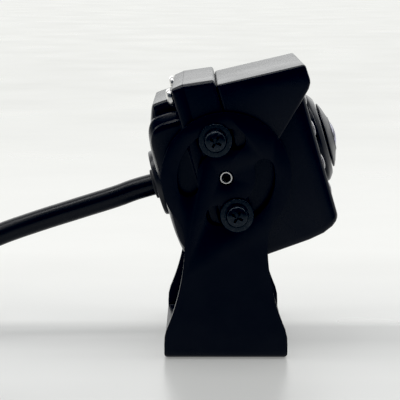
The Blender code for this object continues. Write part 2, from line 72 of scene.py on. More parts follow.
HEAD = Matrix.Translation((0, 0, PIVOT_HEIGHT)) @ Matrix.Rotation(-math.radians(TILT), 4, "Y")
HERE = Matrix.Identity(4)

# Bracket
ARM_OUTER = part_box("bracket")[1].y / MM
SHEET = 2.7
DISC_RADIUS = 19.5
NECK_HALF = 12.5
NECK_FILLET = 12.0
FLARE_RADIUS = 67.0
FLARE_END = 9.0
FOOT_HALF = 18.67
FOOT_SIDE_HEIGHT = 4.6
FOOT_TAPER = (0.12, 6.8)
FOOT_CORNER = 1.6
BEND_RADIUS = 3.2
SLOT_RADIUS = 11.7
SLOT_WIDTH = 6.0
SLOT_LOW = (-104.6, 14.0)
PIVOT_HOLE = 2.2
BASE_HOLE = 2.6
BASE_HOLES = [(x, y) for x in (-10.5, 10.5) for y in (-20.0, 20.0)]

# Camera head: u forwards along the lens axis, v up
SIDE = 31.0
BAND_SIDE = 33.0
BAND_TOP = 30.3
BAND_BOTTOM = -30.1
BAND_REAR = -4.9
BAND_FRONT = 4.6
BAND_CORNER = 1.6
FLANGE_FRONT = -5.2
FLANGE_REAR = -8.7
FRONT_FACE = 29.3
WALL = 2.3
COVER_SEAT = -20.2
GLAND_RADIUS = 10.7
GLAND_REAR = -22.5
GROMMET_REAR = -23.7
VISOR_SIDE = 32.8
VISOR_SHEET = 1.3

# Fasteners
TILT_SCREW_RADIUS = 11.7
BOSS_RADIUS = 2.8
COVER_SCREWS = [(y, v) for y in (-28.5, 28.5) for v in (-26.6, 27.2)]
COVER_HEAD = 2.75
COVER_HEAD_HEIGHT = 1.7
COVER_SHAFT = 1.25
TILT_HEAD = 3.4
TILT_HEAD_HEIGHT = 2.6
TILT_SHAFT = 1.9
TILT_HOLE = 2.3
WASHER_RADIUS = 5.0
WASHER_SHEET = 0.8
SPRING_RADIUS = 3.6
SPRING_SPACE = 0.9
BUSH_RADIUS = 1.85
BUSH_BORE = 1.42

# Front optics
LED_CIRCLE = 20.5
LED_ANGLES = (15.0, 45.0, 135.0, 165.0, 195.0, 225.0, 315.0, 345.0)
LED_RADIUS = 2.5
LED_SHOULDER = 29.35
LED_DOME = 0.8
LED_BOARD_FRONT = 23.4
SENSOR_WINDOW = (0.0, -18.6)
BEZEL_RADIUS = 14.3
GLASS_RIM = 4.85
GLASS_RISE = 1.35
GLASS_TIP = 36.6

# Cable
CABLE_RADIUS = 3.5
COIL_CENTRE = (-122.0, 20.0)
COIL_INNER = 34.0
COIL_PITCH = 7.2
COIL_TURNS = 1.25
LEAD_ROUTE = [
    (-35.0, 0.0, 44.8),
    (-48.0, 0.0, 40.7),
    (-60.0, -0.2, 36.9),
    (-72.0, -1.6, 32.8),
    (-83.0, -4.8, 28.0),
    (-93.0, -8.7, 22.2),
    (-102.0, -11.8, 16.3),
    (-111.0, -13.5, 11.7),
    (-122.0, -14.0, 7.4),
]
TIE_SHARE = 0.175
TIE_LIFT = 0.9

# Connector, measured along its axis from PLUG_START
PLUG_START = 24.0
PLUG_AXIS_HEIGHT = 8.2
GRIP_RIBS = 4
RIB_PITCH = 2.3
SHELL_RADIUS = 8.2
KNURLS = 44
KNURL_DEPTH = 0.28
END_SHRINK = 0.955
SLEEVE_BORE = 6.2
THREAD_TURNS = 8
THREAD_PITCH = 1.15
THREAD_LOW = 6.75
THREAD_HIGH = 7.1
CONTACT_CIRCLE = 3.1

# Camera
EYE = (-0.00784, -0.547, 0.120)
PITCH_DOWN = 7.94
LENS = 155.1

# Studio. FLOOR_GLOW says how brightly the sweep glows, as painted light, at shares of the way over FLOOR_REACH,
# which runs from 150 mm in front of the object to 350 mm behind it; its dip around 0.3 is a painted shadow band
# beside the object. TENT_LIGHT gives the light from the front to the back.
FLOOR_COLOUR = (0.32, 0.323, 0.32)
FLOOR_REACH = (-0.15, 0.35)
FLOOR_GLOW = (
    (0.0, 0.24),
    (0.18, 0.27),
    (0.25, 0.21),
    (0.281, 0.13),
    (0.32, 0.13),
    (0.343, 0.29),
    (0.376, 0.33),
    (0.412, 0.39),
    (0.49, 0.53),
    (0.54, 0.6),
    (0.62, 0.64),
    (1.0, 0.66),
)
TENT_LIGHT = (
    (0.0, (0.02, 0.03, 0.045)),
    (0.36, (0.03, 0.04, 0.055)),
    (0.45, (0.5, 0.51, 0.52)),
    (1.0, (0.6, 0.61, 0.6)),
)
BACKDROP = (0.86, 0.87, 0.84)
BLACK_POINT = (0.0048, 0.0041, 0.0023)
LIGHTS = (
    ("top_strip", (0.0, -0.06, 0.8), (0.0, -0.06, 0.0), (2.2, 0.16), 6.0),
    ("back_panel", (0.0, 0.9, 0.62), (0.0, 0.0, 0.3), (2.2, 0.9), 7.0),
    ("front_top", (-0.14, -0.34, 0.8), (0.0, 0.0, 0.06), (0.2, 0.2), 0.7),
)


# ---------------------------------------------------------------- materials


class Shader:
    """A Principled material with short ways to add procedural nodes."""

    def __init__(self, name, colour, roughness, metallic=0.0):
        self.material = bpy.data.materials.new(name)
        self.material.use_nodes = True
        self.tree = self.material.node_tree
        self.bsdf = self.tree.nodes["Principled BSDF"]
        self.set("Base Color", (*colour, 1.0))
        self.set("Roughness", roughness)
        self.set("Metallic", metallic)
        self.coords = self.node("ShaderNodeTexCoord").outputs["Object"]

    def set(self, name, value):
        self.bsdf.inputs[name].default_value = value

    def node(self, kind, **settings):
        made = self.tree.nodes.new(kind)
        for name, value in settings.items():
            if name in made.inputs:
                made.inputs[name].default_value = value
            else:
                setattr(made, name, value)
        return made

    def link(self, out, into):
        self.tree.links.new(out, into)

    def noise(self, scale, detail=3.0, coords=None):
        made = self.node("ShaderNodeTexNoise", Scale=scale, Detail=detail, Roughness=0.5)
        self.link(coords or self.coords, made.inputs["Vector"])
        return made.outputs["Fac"]

    def stretched(self, scale):
        made = self.node("ShaderNodeMapping")
        made.inputs["Scale"].default_value = scale
        self.link(self.coords, made.inputs["Vector"])
        return made.outputs["Vector"]

    def map(self, value, low, high, start=0.0, end=1.0):
        made = self.node("ShaderNodeMapRange")
        made.inputs["From Min"].default_value = low
        made.inputs["From Max"].default_value = high
        made.inputs["To Min"].default_value = start
        made.inputs["To Max"].default_value = end
        self.link(value, made.inputs["Value"])
        return made.outputs["Result"]

    def mix(self, factor, first, second):
        made = self.node("ShaderNodeMix", data_type="RGBA")
        self.link(factor, made.inputs["Factor"])
        made.inputs["A"].default_value = (*first, 1.0)
        made.inputs["B"].default_value = (*second, 1.0)
        return made.outputs["Result"]

    def add(self, first, second):
        made = self.node("ShaderNodeMath", operation="ADD")
        self.link(first, made.inputs[0])
        self.link(second, made.inputs[1])
        return made.outputs["Value"]

    def bump(self, height, strength, distance_mm):
        made = self.node("ShaderNodeBump", Strength=strength, Distance=distance_mm * MM)
        self.link(height, made.inputs["Height"])
        self.link(made.outputs["Normal"], self.bsdf.inputs["Normal"])

    def colour(self, out):
        self.link(out, self.bsdf.inputs["Base Color"])

    def roughness(self, out):
        self.link(out, self.bsdf.inputs["Roughness"])


def powder_coat(name, colour, dust, roughness, gloss):
    """Satin powder coat: fine orange peel, slightly uneven gloss and a very faint film of dust."""
    s = Shader(name, colour, roughness)
    s.colour(s.mix(s.map(s.noise(140, 5.0), 0.35, 0.75), colour, dust))
    s.roughness(s.map(s.noise(60, 3.0), 0.3, 0.7, roughness - 0.03, roughness + 0.05))
    s.bump(s.add(s.noise(1400, 2.0), s.noise(5200, 2.0)), 0.16, 0.015)
    s.set("Specular IOR Level", gloss)
    return s.material


def dark_steel():
    s = Shader("black_steel", (0.022, 0.023, 0.027), 0.3, 0.85)
    s.roughness(s.map(s.noise(700, 4.0), 0.35, 0.65, 0.2, 0.36))
    s.colour(s.mix(s.map(s.noise(1500, 3.0), 0.55, 0.75), (0.02, 0.025, 0.031), (0.045, 0.05, 0.056)))
    s.bump(s.noise(2600, 2.0), 0.15, 0.015)
    return s.material


def bright_steel():
    s = Shader("stainless_steel", (0.74, 0.73, 0.71), 0.22, 1.0)
    s.roughness(s.map(s.noise(500, 4.0), 0.3, 0.7, 0.14, 0.3))
    s.bump(s.noise(1.0, 2.0, s.stretched((300, 3200, 3200))), 0.12, 0.01)
    s.colour(s.mix(s.map(s.noise(350, 3.0), 0.4, 0.8), (0.84, 0.83, 0.81), (0.66, 0.65, 0.64)))
    return s.material


def rubber():
    s = Shader("black_rubber", (0.014, 0.014, 0.015), 0.62)
    s.colour(s.mix(s.map(s.noise(300, 4.0), 0.4, 0.8), (0.012, 0.012, 0.013), (0.026, 0.026, 0.026)))
    s.bump(s.noise(3000, 3.0), 0.25, 0.03)
    return s.material


def jacket():
    """Extruded PVC: satin, with a faint fine bump and dull patches."""
    s = Shader("cable_jacket", (0.005, 0.0055, 0.0075), 0.28)
    s.set("Specular IOR Level", 0.24)
    s.roughness(s.map(s.noise(110, 3.0), 0.3, 0.7, 0.24, 0.34))
    s.bump(s.noise(1600, 2.0), 0.12, 0.02)
    s.colour(s.mix(s.map(s.noise(70, 4.0), 0.5, 0.8), (0.0045, 0.005, 0.007), (0.008, 0.0082, 0.0098)))
    return s.material


def black_plastic():
    s = Shader("black_plastic", (0.013, 0.013, 0.016), 0.32)
    s.roughness(s.map(s.noise(200, 3.0), 0.3, 0.7, 0.27, 0.4))
    s.bump(s.noise(4200, 3.0), 0.16, 0.02)
    return s.material


def circuit_board():
    s = Shader("circuit_board", (0.02, 0.16, 0.07), 0.4)
    tracks = s.node("ShaderNodeTexBrick", Scale=260.0)
    s.link(s.coords, tracks.inputs["Vector"])
    s.colour(s.mix(tracks.outputs["Fac"], (0.015, 0.11, 0.05), (0.05, 0.26, 0.12)))
    s.bump(tracks.outputs["Fac"], 0.3, 0.03)
    return s.material


def lens_glass():
    """Coated glass: dark with a faint blue-violet cast, as light goes into the black barrel."""
    s = Shader("lens_glass", (0.4, 0.42, 0.5), 0.015)
    s.set("Transmission Weight", 1.0)
    s.set("IOR", 1.52)
    s.set("Coat Weight", 0.6)
    s.set("Coat Tint", (0.72, 0.7, 1.0, 1.0))
    s.roughness(s.map(s.noise(600, 3.0), 0.4, 0.9, 0.01, 0.05))
    return s.material


def led_epoxy():
    """Infrared LEDs look near black, with a violet cast in the clear epoxy."""
    s = Shader("led_epoxy", (0.07, 0.055, 0.095), 0.06)
    s.set("Transmission Weight", 0.35)
    s.set("IOR", 1.54)
    s.set("Coat Weight", 0.8)
    s.roughness(s.map(s.noise(900, 2.0), 0.4, 0.9, 0.04, 0.12))
    return s.material


def brass():
    s = Shader("brass", (0.68, 0.5, 0.24), 0.28, 1.0)
    s.roughness(s.map(s.noise(700, 3.0), 0.3, 0.7, 0.2, 0.36))
    s.colour(s.mix(s.map(s.noise(260, 3.0), 0.4, 0.8), (0.7, 0.52, 0.25), (0.45, 0.32, 0.15)))
    return s.material


COATS = {
    "housing_coat": powder_coat(
        "housing_coat", (0.0026, 0.0034, 0.0075), (0.0042, 0.0052, 0.0095), roughness=0.25, gloss=0.21
    ),
    "bracket_coat": powder_coat(
        "bracket_coat", (0.0024, 0.003, 0.0065), (0.004, 0.0048, 0.0085), roughness=0.3, gloss=0.17
    ),
    "black_steel": dark_steel(),
    "stainless_steel": bright_steel(),
    "black_plastic": black_plastic(),
    "black_rubber": rubber(),
    "cable_jacket": jacket(),
    "circuit_board": circuit_board(),
    "lens_glass": lens_glass(),
    "led_epoxy": led_epoxy(),
    "brass": brass(),
}


def dress_frame():
    """Gives every CAD node the finish of its own material slot."""
    for part in frame["record"]["subparts"]:
        node = frame["nodes"][part["node"]]
        node.data.materials.clear()
        node.data.materials.append(COATS[part["material_slot"]])
        node.data.shade_smooth()
        node.data.set_sharp_from_angle(angle=math.radians(35))


# ---------------------------------------------------------------- outlines and solids


def arc(centre, radius, start, end, step=5.0):
    count = max(1, math.ceil(abs(end - start) / step))
    angles = [math.radians(start + (end - start) * i / count) for i in range(count + 1)]
    return [(centre[0] + radius * math.cos(a), centre[1] + radius * math.sin(a)) for a in angles]


def rounded_box(half_width, low, high, radius, step=7.5):
    x, z0, z1 = half_width - radius, low + radius, high - radius
    return (
        arc((x, z0), radius, -90, 0, step)
        + arc((x, z1), radius, 0, 90, step)
        + arc((-x, z1), radius, 90, 180, step)
        + arc((-x, z0), radius, 180, 270, step)
    )


def arc_slot(radius, width, start, end):
    first, last = math.radians(start), math.radians(end)
    near = (radius * math.cos(first), radius * math.sin(first))
    far = (radius * math.cos(last), radius * math.sin(last))
    half = width / 2
    return (
        arc((0, 0), radius + half, start, end, 4)
        + arc(far, half, end, end + 180, 10)[1:-1]
        + arc((0, 0), radius - half, end, start, 5)
        + arc(near, half, start + 180, start + 360, 10)[1:-1]
    )


def arm_outline():
    fillet_centre_x = NECK_HALF + NECK_FILLET
    drop = math.sqrt((DISC_RADIUS + NECK_FILLET) ** 2 - fillet_centre_x**2)
    join = math.degrees(math.atan2(drop, fillet_centre_x))
    neck_z = PIVOT_HEIGHT - drop
    flare_angle = math.degrees(math.asin((neck_z - FLARE_END) / FLARE_RADIUS))
    right = (
        arc((FOOT_HALF - FOOT_CORNER, FOOT_CORNER), FOOT_CORNER, -90, 0, 10)
        + [(FOOT_HALF, FOOT_SIDE_HEIGHT), (FOOT_HALF - FOOT_TAPER[0], FOOT_TAPER[1])]
        + arc((NECK_HALF + FLARE_RADIUS, neck_z), FLARE_RADIUS, 180 + flare_angle, 180, 1.5)
        + arc((fillet_centre_x, neck_z), NECK_FILLET, 180, 180 - join, 4)[1:]
    )
    disc = arc((0, PIVOT_HEIGHT), DISC_RADIUS, -join, 180 + join, 3)[1:-1]
    left = [(-x, z) for x, z in reversed(right)]
    return right + disc + left


def bent_sheet_outline():
    top = PIVOT_HEIGHT + DISC_RADIUS + 1
    inner = ARM_OUTER - SHEET
    bend_y = ARM_OUTER - BEND_RADIUS
    inner_radius = BEND_RADIUS - SHEET
    outside = [(-ARM_OUTER, top)]
    outside += arc((-bend_y, BEND_RADIUS), BEND_RADIUS, 180, 270, 9)
    outside += arc((bend_y, BEND_RADIUS), BEND_RADIUS, 270, 360, 9)
    outside += [(ARM_OUTER, top), (inner, top)]
    inside = arc((bend_y, BEND_RADIUS), inner_radius, 0, -90, 22.5)
    inside += arc((-bend_y, BEND_RADIUS), inner_radius, -90, -180, 22.5)
    return outside + inside + [(-inner, top)]


PLACES = {
    "X": lambda a, b, c: (c, a, b),
    "Y": lambda a, b, c: (a, c, b),
    "Z": lambda a, b, c: (a, b, c),
}


def loft(sections, axis="X", bm=None):
    bm = bm or bmesh.new()
    put = PLACES[axis]
    rings = [[bm.verts.new(put(a, b, along)) for a, b in outline] for along, outline in sections]
    faces = []
    for low, high in zip(rings, rings[1:]):
        for i in range(len(low)):
            j = (i + 1) % len(low)
            faces.append(bm.faces.new((low[i], low[j], high[j], high[i])))
    faces.append(bm.faces.new(list(reversed(rings[0]))))
    faces.append(bm.faces.new(rings[-1]))
    bmesh.ops.recalc_face_normals(bm, faces=faces)
    return bm


def prism(outline, low, high, axis="Y", bm=None):
    return loft([(low, outline), (high, outline)], axis, bm)


def turned(profile, axis="X", centre=(0.0, 0.0), steps=64, bm=None):
    bm = bm or bmesh.new()
    put = PLACES[axis]
    turns = [2 * math.pi * i / steps for i in range(steps)]
    rings = []
    for along, radius in profile:
        if radius < 1e-6:
            rings.append([bm.verts.new(put(centre[0], centre[1], along))])
        else:
            spots = [(centre[0] + radius * math.cos(t), centre[1] + radius * math.sin(t)) for t in turns]
            rings.append([bm.verts.new(put(a, b, along)) for a, b in spots])
    pairs = list(zip(rings, rings[1:]))
    if len(rings[0]) > 1:
        pairs.append((rings[-1], rings[0]))
    faces = []
    for first, second in pairs:
        for i in range(steps):
            j = (i + 1) % steps
            corners = [first[i % len(first)], first[j % len(first)]]
            corners += [second[j % len(second)], second[i % len(second)]]
            faces.append(bm.faces.new(list(dict.fromkeys(corners))))
    bmesh.ops.recalc_face_normals(bm, faces=faces)
    return bm


def softened(profile, radius, step=22.5):
    """The same open or closed profile with its corners rounded, for turned pieces with broken edges."""
    closed = profile[0][1] > 1e-6
    count = len(profile)
    rounded = []
    for i, spot in enumerate(profile):
        here = Vector(spot)
        if not closed and i in (0, count - 1):
            rounded.append(spot)
            continue
        before = Vector(profile[i - 1]) - here
        after = Vector(profile[(i + 1) % count]) - here
        reach = min(radius, before.length * 0.45, after.length * 0.45)
        turn = before.angle(after)
        if turn > math.radians(165) or reach < 1e-3:
            rounded.append(spot)
            continue
        start = here + before.normalized() * reach
        end = here + after.normalized() * reach
        pieces = max(2, round((180 - math.degrees(turn)) / step))
        for k in range(pieces + 1):
            t = k / pieces
            rounded.append(tuple(start * (1 - t) ** 2 + here * 2 * t * (1 - t) + end * t**2))
    return rounded


def smooth_step(value, start, end):
    share = min(1.0, max(0.0, (value - start) / (end - start)))
    return share * share * (3 - 2 * share)


def rod(radius, low, high, axis="X", centre=(0.0, 0.0), steps=48, bm=None):
    return turned([(low, 0), (low, radius), (high, radius), (high, 0)], axis, centre, steps, bm)


def tube(outer, inner, low, high, axis="X", centre=(0.0, 0.0), steps=64, edge=0.12):
    profile = [(low, inner), (low, outer), (high, outer), (high, inner)]
    return turned(softened(profile, edge), axis, centre, steps)


def catmull_rom(a, b, c, d, t):
    """The value at share t of the way from b to c, where a comes before them and d after."""
    straight = 2 * b + (c - a) * t
    square = (2 * a - 5 * b + 4 * c - d) * t * t
    cube = (3 * b - a - 3 * c + d) * t**3
    return 0.5 * (straight + square + cube)


def smooth_values(rows, parts):
    """Rows of numbers with parts - 1 more between each two, along a Catmull-Rom curve."""
    before = [2 * a - b for a, b in zip(rows[0], rows[1])]
    after = [2 * a - b for a, b in zip(rows[-1], rows[-2])]
    ends = [before, *rows, after]
    made = []
    for four in zip(ends, ends[1:], ends[2:], ends[3:]):
        for i in range(parts):
            made.append([catmull_rom(*values, i / parts) for values in zip(*four)])
    made.append(list(rows[-1]))
    return made


def box_sections(rows):
    """Loft sections from rows of (along, half width, low, high, corner radius)."""
    return [(along, rounded_box(*box)) for along, *box in rows]


def rounded_end(along, way, half, low, high, corner, radius, step=15):
    """Sections that round the rim of an end face at along, which looks the way given."""
    made = []
    for degrees in range(0, 91, step):
        turn = math.radians(degrees)
        inset = radius * (1 - math.cos(turn))
        outline = rounded_box(half - inset, low + inset, high - inset, max(corner - inset, 0.5))
        made.append((along - way * radius * (1 - math.sin(turn)), outline))
    return made


# ---------------------------------------------------------------- objects


def mesh_object(name, bm, place):
    bmesh.ops.recalc_face_normals(bm, faces=bm.faces)
    if bm.calc_volume(signed=True) < 0:
        bmesh.ops.reverse_faces(bm, faces=bm.faces)
    bmesh.ops.transform(bm, matrix=Matrix.Scale(MM, 4) @ place, verts=bm.verts)
    mesh = bpy.data.meshes.new(name)
    bm.to_mesh(mesh)
    bm.free()
    made = bpy.data.objects.new(name, mesh)
    bpy.context.scene.collection.objects.link(made)
    return made


def shape(piece, operation, bm, place):
    """Applies one Boolean, so that no helper is left in the scene."""
    helper = mesh_object(piece.name + "_helper", bm, place)
    step = piece.modifiers.new("shape", "BOOLEAN")
    step.operation = operation
    step.object = helper
    bake(piece)
    bpy.data.objects.remove(helper, do_unlink=True)


def bake(piece):
    """Replaces the piece's mesh with what its modifiers make of it."""
    graph = bpy.context.evaluated_depsgraph_get()
    made = bpy.data.meshes.new_from_object(piece.evaluated_get(graph))
    piece.modifiers.clear()
    piece.data = made


def soften_edges(piece, width, segments=2, angle=32):
    step = piece.modifiers.new("soft_edges", "BEVEL")
    step.width = width * MM
    step.segments = segments
    step.limit_method = "ANGLE"
    step.angle_limit = math.radians(angle)
    step.use_clamp_overlap = True
    step.miter_outer = "MITER_ARC"
    bake(piece)


def finish_piece(piece, slot, body, nodes=(), sharp=32):
    piece.data.materials.clear()
    piece.data.materials.append(COATS[slot])
    piece.data.shade_smooth()
    piece.data.set_sharp_from_angle(angle=math.radians(sharp))
    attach(piece, body)
    if nodes:
        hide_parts(*nodes)
    return piece


def make(name, bm, slot, body="camera_head", nodes=(), place=None, edge=0.0, sharp=32):
    place = (HEAD if body == "camera_head" else HERE) if place is None else place
    piece = mesh_object(name, bm, place)
    if edge:
        soften_edges(piece, edge)
    return finish_piece(piece, slot, body, nodes, sharp)


# ---------------------------------------------------------------- bracket


def bracket():
    sheet = prism(bent_sheet_outline(), -FOOT_HALF - 1, FOOT_HALF + 1, "X")
    piece = mesh_object("mount_bracket", sheet, HERE)
    shape(piece, "INTERSECT", prism(arm_outline(), -ARM_OUTER - PAST, ARM_OUTER + PAST), HERE)
    holes = bmesh.new()
    for turn in (0.0, 180.0):
        outline = arc_slot(SLOT_RADIUS, SLOT_WIDTH, SLOT_LOW[0] + turn, SLOT_LOW[1] + turn)
        outline = [(x, z + PIVOT_HEIGHT) for x, z in outline]
        prism(outline, -ARM_OUTER - 3, ARM_OUTER + 3, "Y", holes)
    rod(PIVOT_HOLE, -ARM_OUTER - 3, ARM_OUTER + 3, "Y", (0, PIVOT_HEIGHT), 48, holes)
    for x, y in BASE_HOLES:
        rod(BASE_HOLE, -PAST, SHEET + PAST, "Z", (x, y), 40, holes)
    shape(piece, "DIFFERENCE", holes, HERE)
    soften_edges(piece, 0.35, 3)
    finish_piece(piece, "bracket_coat", "bracket", ["bracket"])


# ---------------------------------------------------------------- housing


def led_spots():
    turns = [math.radians(angle) for angle in LED_ANGLES]
    return [(LED_CIRCLE * math.cos(turn), LED_CIRCLE * math.sin(turn)) for turn in turns]


def front_housing():
    body = [
        (BAND_REAR, 31.0, -27.6, 25.5, 1.9),
        (19.0, 30.6, -26.1, 24.5, 1.9),
        (23.7, 30.5, -25.35, 24.3, 1.9),
        (24.4, 30.5, -25.05, 24.28, 1.9),
        (26.8, 30.4, -24.1, 24.15, 1.9),
        (28.3, 29.9, -23.0, 23.6, 1.8),
        (29.0, 29.1, -22.1, 22.8, 1.6),
        (FRONT_FACE, 28.3, -21.4, 21.9, 1.4),
    ]
    piece = mesh_object("housing_casting", loft(box_sections(body)), HEAD)
    band = box_sections([(BAND_REAR, BAND_SIDE, BAND_BOTTOM, BAND_TOP, BAND_CORNER)])
    band += rounded_end(BAND_FRONT, 1, BAND_SIDE, BAND_BOTTOM + 0.8, BAND_TOP - 1.2, BAND_CORNER, 0.9)
    shape(piece, "UNION", loft(band), HEAD)
    bosses = bmesh.new()
    for v in (-TILT_SCREW_RADIUS, TILT_SCREW_RADIUS):
        for side in (-1, 1):
            ends = sorted((side * (BAND_SIDE - PAST), side * ARM_OUTER))
            rod(BOSS_RADIUS, *ends, "Y", (0, v), 48, bosses)
    shape(piece, "UNION", bosses, HEAD)
    hollow = [
        (BAND_REAR - PAST, 25.5, -22.0, 21.6, 3.0),
        (7.0, 25.5, -22.0, 21.6, 3.0),
        (8.0, 28.0, -22.0, 21.6, 3.0),
        (FRONT_FACE - WALL, 27.6, -21.0, 21.2, 3.0),
    ]
    shape(piece, "DIFFERENCE", loft(box_sections(hollow)), HEAD)
    holes = bmesh.new()
    through = (25.0, 32.0)
    rod(8.5, *through, "X", (0, 0), 64, holes)
    for spot in led_spots():
        rod(LED_RADIUS + GAP, *through, "X", spot, 40, holes)
    rod(2.3, *through, "X", SENSOR_WINDOW, 40, holes)
    for spot in COVER_SCREWS:
        rod(1.55, BAND_REAR - PAST, 2.5, "X", spot, 24, holes)
    for v in (-TILT_SCREW_RADIUS, TILT_SCREW_RADIUS):
        for side in (-1, 1):
            ends = sorted((side * 27.2, side * (ARM_OUTER + PAST)))
            rod(TILT_HOLE, *ends, "Y", (0, v), 32, holes)
    for side in (-1, 1):
        ends = sorted((side * 28.5, side * (ARM_OUTER + PAST)))
        rod(PIVOT_HOLE, *ends, "Y", (0, 0), 32, holes)
    shape(piece, "DIFFERENCE", holes, HEAD)
    soften_edges(piece, 0.18, 2, 40)
    finish_piece(piece, "housing_coat", "camera_head", ["front_housing"])


def rear_cover():
    flange = box_sections([(BAND_REAR - SEAM, BAND_SIDE, BAND_BOTTOM, BAND_TOP, BAND_CORNER)])
    flange += rounded_end(FLANGE_REAR, -1, BAND_SIDE, BAND_BOTTOM + 0.2, BAND_TOP - 0.4, BAND_CORNER, 0.8)
    piece = mesh_object("cover_casting", loft(flange[::-1]), HEAD)
    pan = [
        (COVER_SEAT, 20.0, 11.6),
        (-19.9, 26.4, 14.2),
        (-19.2, 29.3, 18.0),
        (-18.2, 30.5, 20.5),
        (-16.6, 30.9, 22.2),
        (-14.0, SIDE, 22.9),
        (FLANGE_REAR + 0.5, SIDE, 22.9),
    ]
    stepped = [(u, ledged_box(half, high)) for u, half, high in smooth_values(pan, 5)]
    shape(piece, "UNION", loft(stepped), HEAD)
    crown = [
        (-19.3, 17.0, -14.4, 14.6, 2.4),
        (-18.1, 22.0, -20.0, 20.2, 2.4),
        (-17.1, 24.0, -23.0, 23.1, 2.4),
        (-15.9, 24.8, -25.6, 25.9, 2.4),
        (-14.6, 25.1, -26.0, 26.5, 1.8),
        (FLANGE_REAR + 0.4, 25.2, -26.2, 26.8, 1.6),
    ]
    shape(piece, "UNION", loft(box_sections(smooth_values(crown, 5))), HEAD)
    hollow = [
        (-17.8, 17.0, -13.0, 13.0, 3.0),
        (-14.5, 22.8, -21.0, 21.0, 3.0),
        (FLANGE_FRONT + PAST, 22.8, -21.0, 21.0, 3.0),
    ]
    shape(piece, "DIFFERENCE", loft(box_sections(hollow)), HEAD)
    holes = bmesh.new()
    rod(6.7, -24, -16, "X", (0, 0), 64, holes)
    for spot in COVER_SCREWS:
        rod(1.65, FLANGE_REAR - PAST, FLANGE_FRONT + PAST, "X", spot, 24, holes)
    shape(piece, "DIFFERENCE", holes, HEAD)
    soften_edges(piece, 0.18, 2, 40)
    finish_piece(piece, "housing_coat", "camera_head", ["rear_cover"])


def ledged_box(half, high):
    """A box outline whose corners turn from round, on the small rear sections, into two narrow ledges."""
    radius = 4.8
    edge = smooth_step(half, 27.5, 30.8)
    ledges = (
        (0.0, -4.8),
        (0.0, -3.1),
        (-0.1, -2.9),
        (-0.6, -2.45),
        (-0.7, -2.3),
        (-1.3, -0.5),
        (-1.8, -0.05),
        (-4.8, 0.0),
    )
    corner = []
    for number, (across, up) in enumerate(ledges):
        turn = math.radians(90 * number / (len(ledges) - 1))
        round_x = radius * (math.cos(turn) - 1)
        round_z = radius * (math.sin(turn) - 1)
        x = half + round_x * (1 - edge) + across * edge
        z = high + round_z * (1 - edge) + up * edge
        corner.append((x, z))
    top = corner + [(-x, z) for x, z in reversed(corner)]
    return top + [(x, -z) for x, z in reversed(top)]


def visor():
    outline = [
        (BAND_FRONT + SEAM, 3.0),
        (15.0, 3.0),
        (22.0, 9.6),
        (31.0, 18.4),
        (32.2, 20.3),
        (32.0, 25.9),
        (BAND_FRONT + SEAM, 27.3),
    ]
    piece = mesh_object("sun_visor", prism(outline, -VISOR_SIDE, VISOR_SIDE), HEAD)
    soften_edges(piece, 0.9, 4)
    inside = [
        (3.0, SIDE + GAP, -30.0, 27.4 - VISOR_SHEET, 2.6),
        (36.0, SIDE + GAP, -30.0, 25.7 - VISOR_SHEET, 2.6),
    ]
    shape(piece, "DIFFERENCE", loft(box_sections(inside)), HEAD)
    soften_edges(piece, 0.16, 2, 40)
    finish_piece(piece, "housing_coat", "camera_head", ["visor"])


# ---------------------------------------------------------------- optics


def lens_front():
    bezel = [
        (29.6, 8.2),
        (29.6, BEZEL_RADIUS),
        (30.7, BEZEL_RADIUS),
        (31.3, BEZEL_RADIUS - 0.5),
        (32.35, 12.3),
        (32.6, 11.5),
        (32.6, 8.2),
    ]
    ring = turned(softened(bezel, 0.35), steps=96)
    make("bezel_ring", ring, "housing_coat", nodes=["lens_bezel"])
    cap = [
        (30.2, 4.95),
        (30.2, 7.9),
        (33.1, 7.9),
        (33.1, 10.35),
        (33.5, 10.35),
        (34.3, 8.6),
        (35.05, 6.3),
        (35.35, 5.5),
        (35.6, 5.3),
        (35.6, 4.95),
    ]
    cone = turned(softened(cap, 0.22), steps=96)
    make("cap_cone", cone, "black_plastic", nodes=["lens_cap"])
    dome_radius = (GLASS_RIM**2 + GLASS_RISE**2) / (2 * GLASS_RISE)
    centre = GLASS_TIP - dome_radius
    radii = (GLASS_RIM, 4.3, 3.6, 2.8, 1.9, 1.0)
    dome = [(centre + math.sqrt(dome_radius**2 - radius**2), radius) for radius in radii]
    glass = turned([(33.0, 0), (33.0, GLASS_RIM)] + dome + [(GLASS_TIP, 0)], steps=64)
    make("glass_dome", glass, "lens_glass", nodes=["front_glass"])


def front_lamps():
    angles = [math.radians(a) for a in range(0, 90, 12)]
    dome = [(LED_SHOULDER + LED_DOME * math.sin(a), LED_RADIUS * math.cos(a)) for a in angles]
    base = [(LED_BOARD_FRONT + GAP, 0), (LED_BOARD_FRONT + GAP, LED_RADIUS)]
    profile = base + dome + [(LED_SHOULDER + LED_DOME, 0)]
    for number, spot in enumerate(led_spots(), 1):
        lamp = turned(profile, centre=spot, steps=40)
        make(f"lamp_{number}", lamp, "led_epoxy", nodes=[f"ir_led_{number}"])


# ---------------------------------------------------------------- fasteners


def pan_screw(name, slot, node, axis, centre, way, seat, tip, radius, tall, shaft):
    """A pan head screw with a cross recess. Its shaft ends at tip and its head rises from seat."""
    crown = seat + way * tall
    head = [
        (seat, radius),
        (seat + way * tall * 0.42, radius),
        (seat + way * tall * 0.78, radius * 0.88),
        (crown - way * tall * 0.04, radius * 0.6),
        (crown, radius * 0.3),
        (crown, 0),
    ]
    profile = softened([(tip, 0), (tip, shaft), (seat, shaft)] + head, 0.2)
    piece = mesh_object(name, turned(profile, axis, centre, 56), HEAD)
    for cutter in cross_bars(radius * 0.62, tall * 0.62, radius * 0.115, crown, way, axis, centre):
        shape(piece, "DIFFERENCE", cutter, HEAD)
    finish_piece(piece, slot, "camera_head", [node])


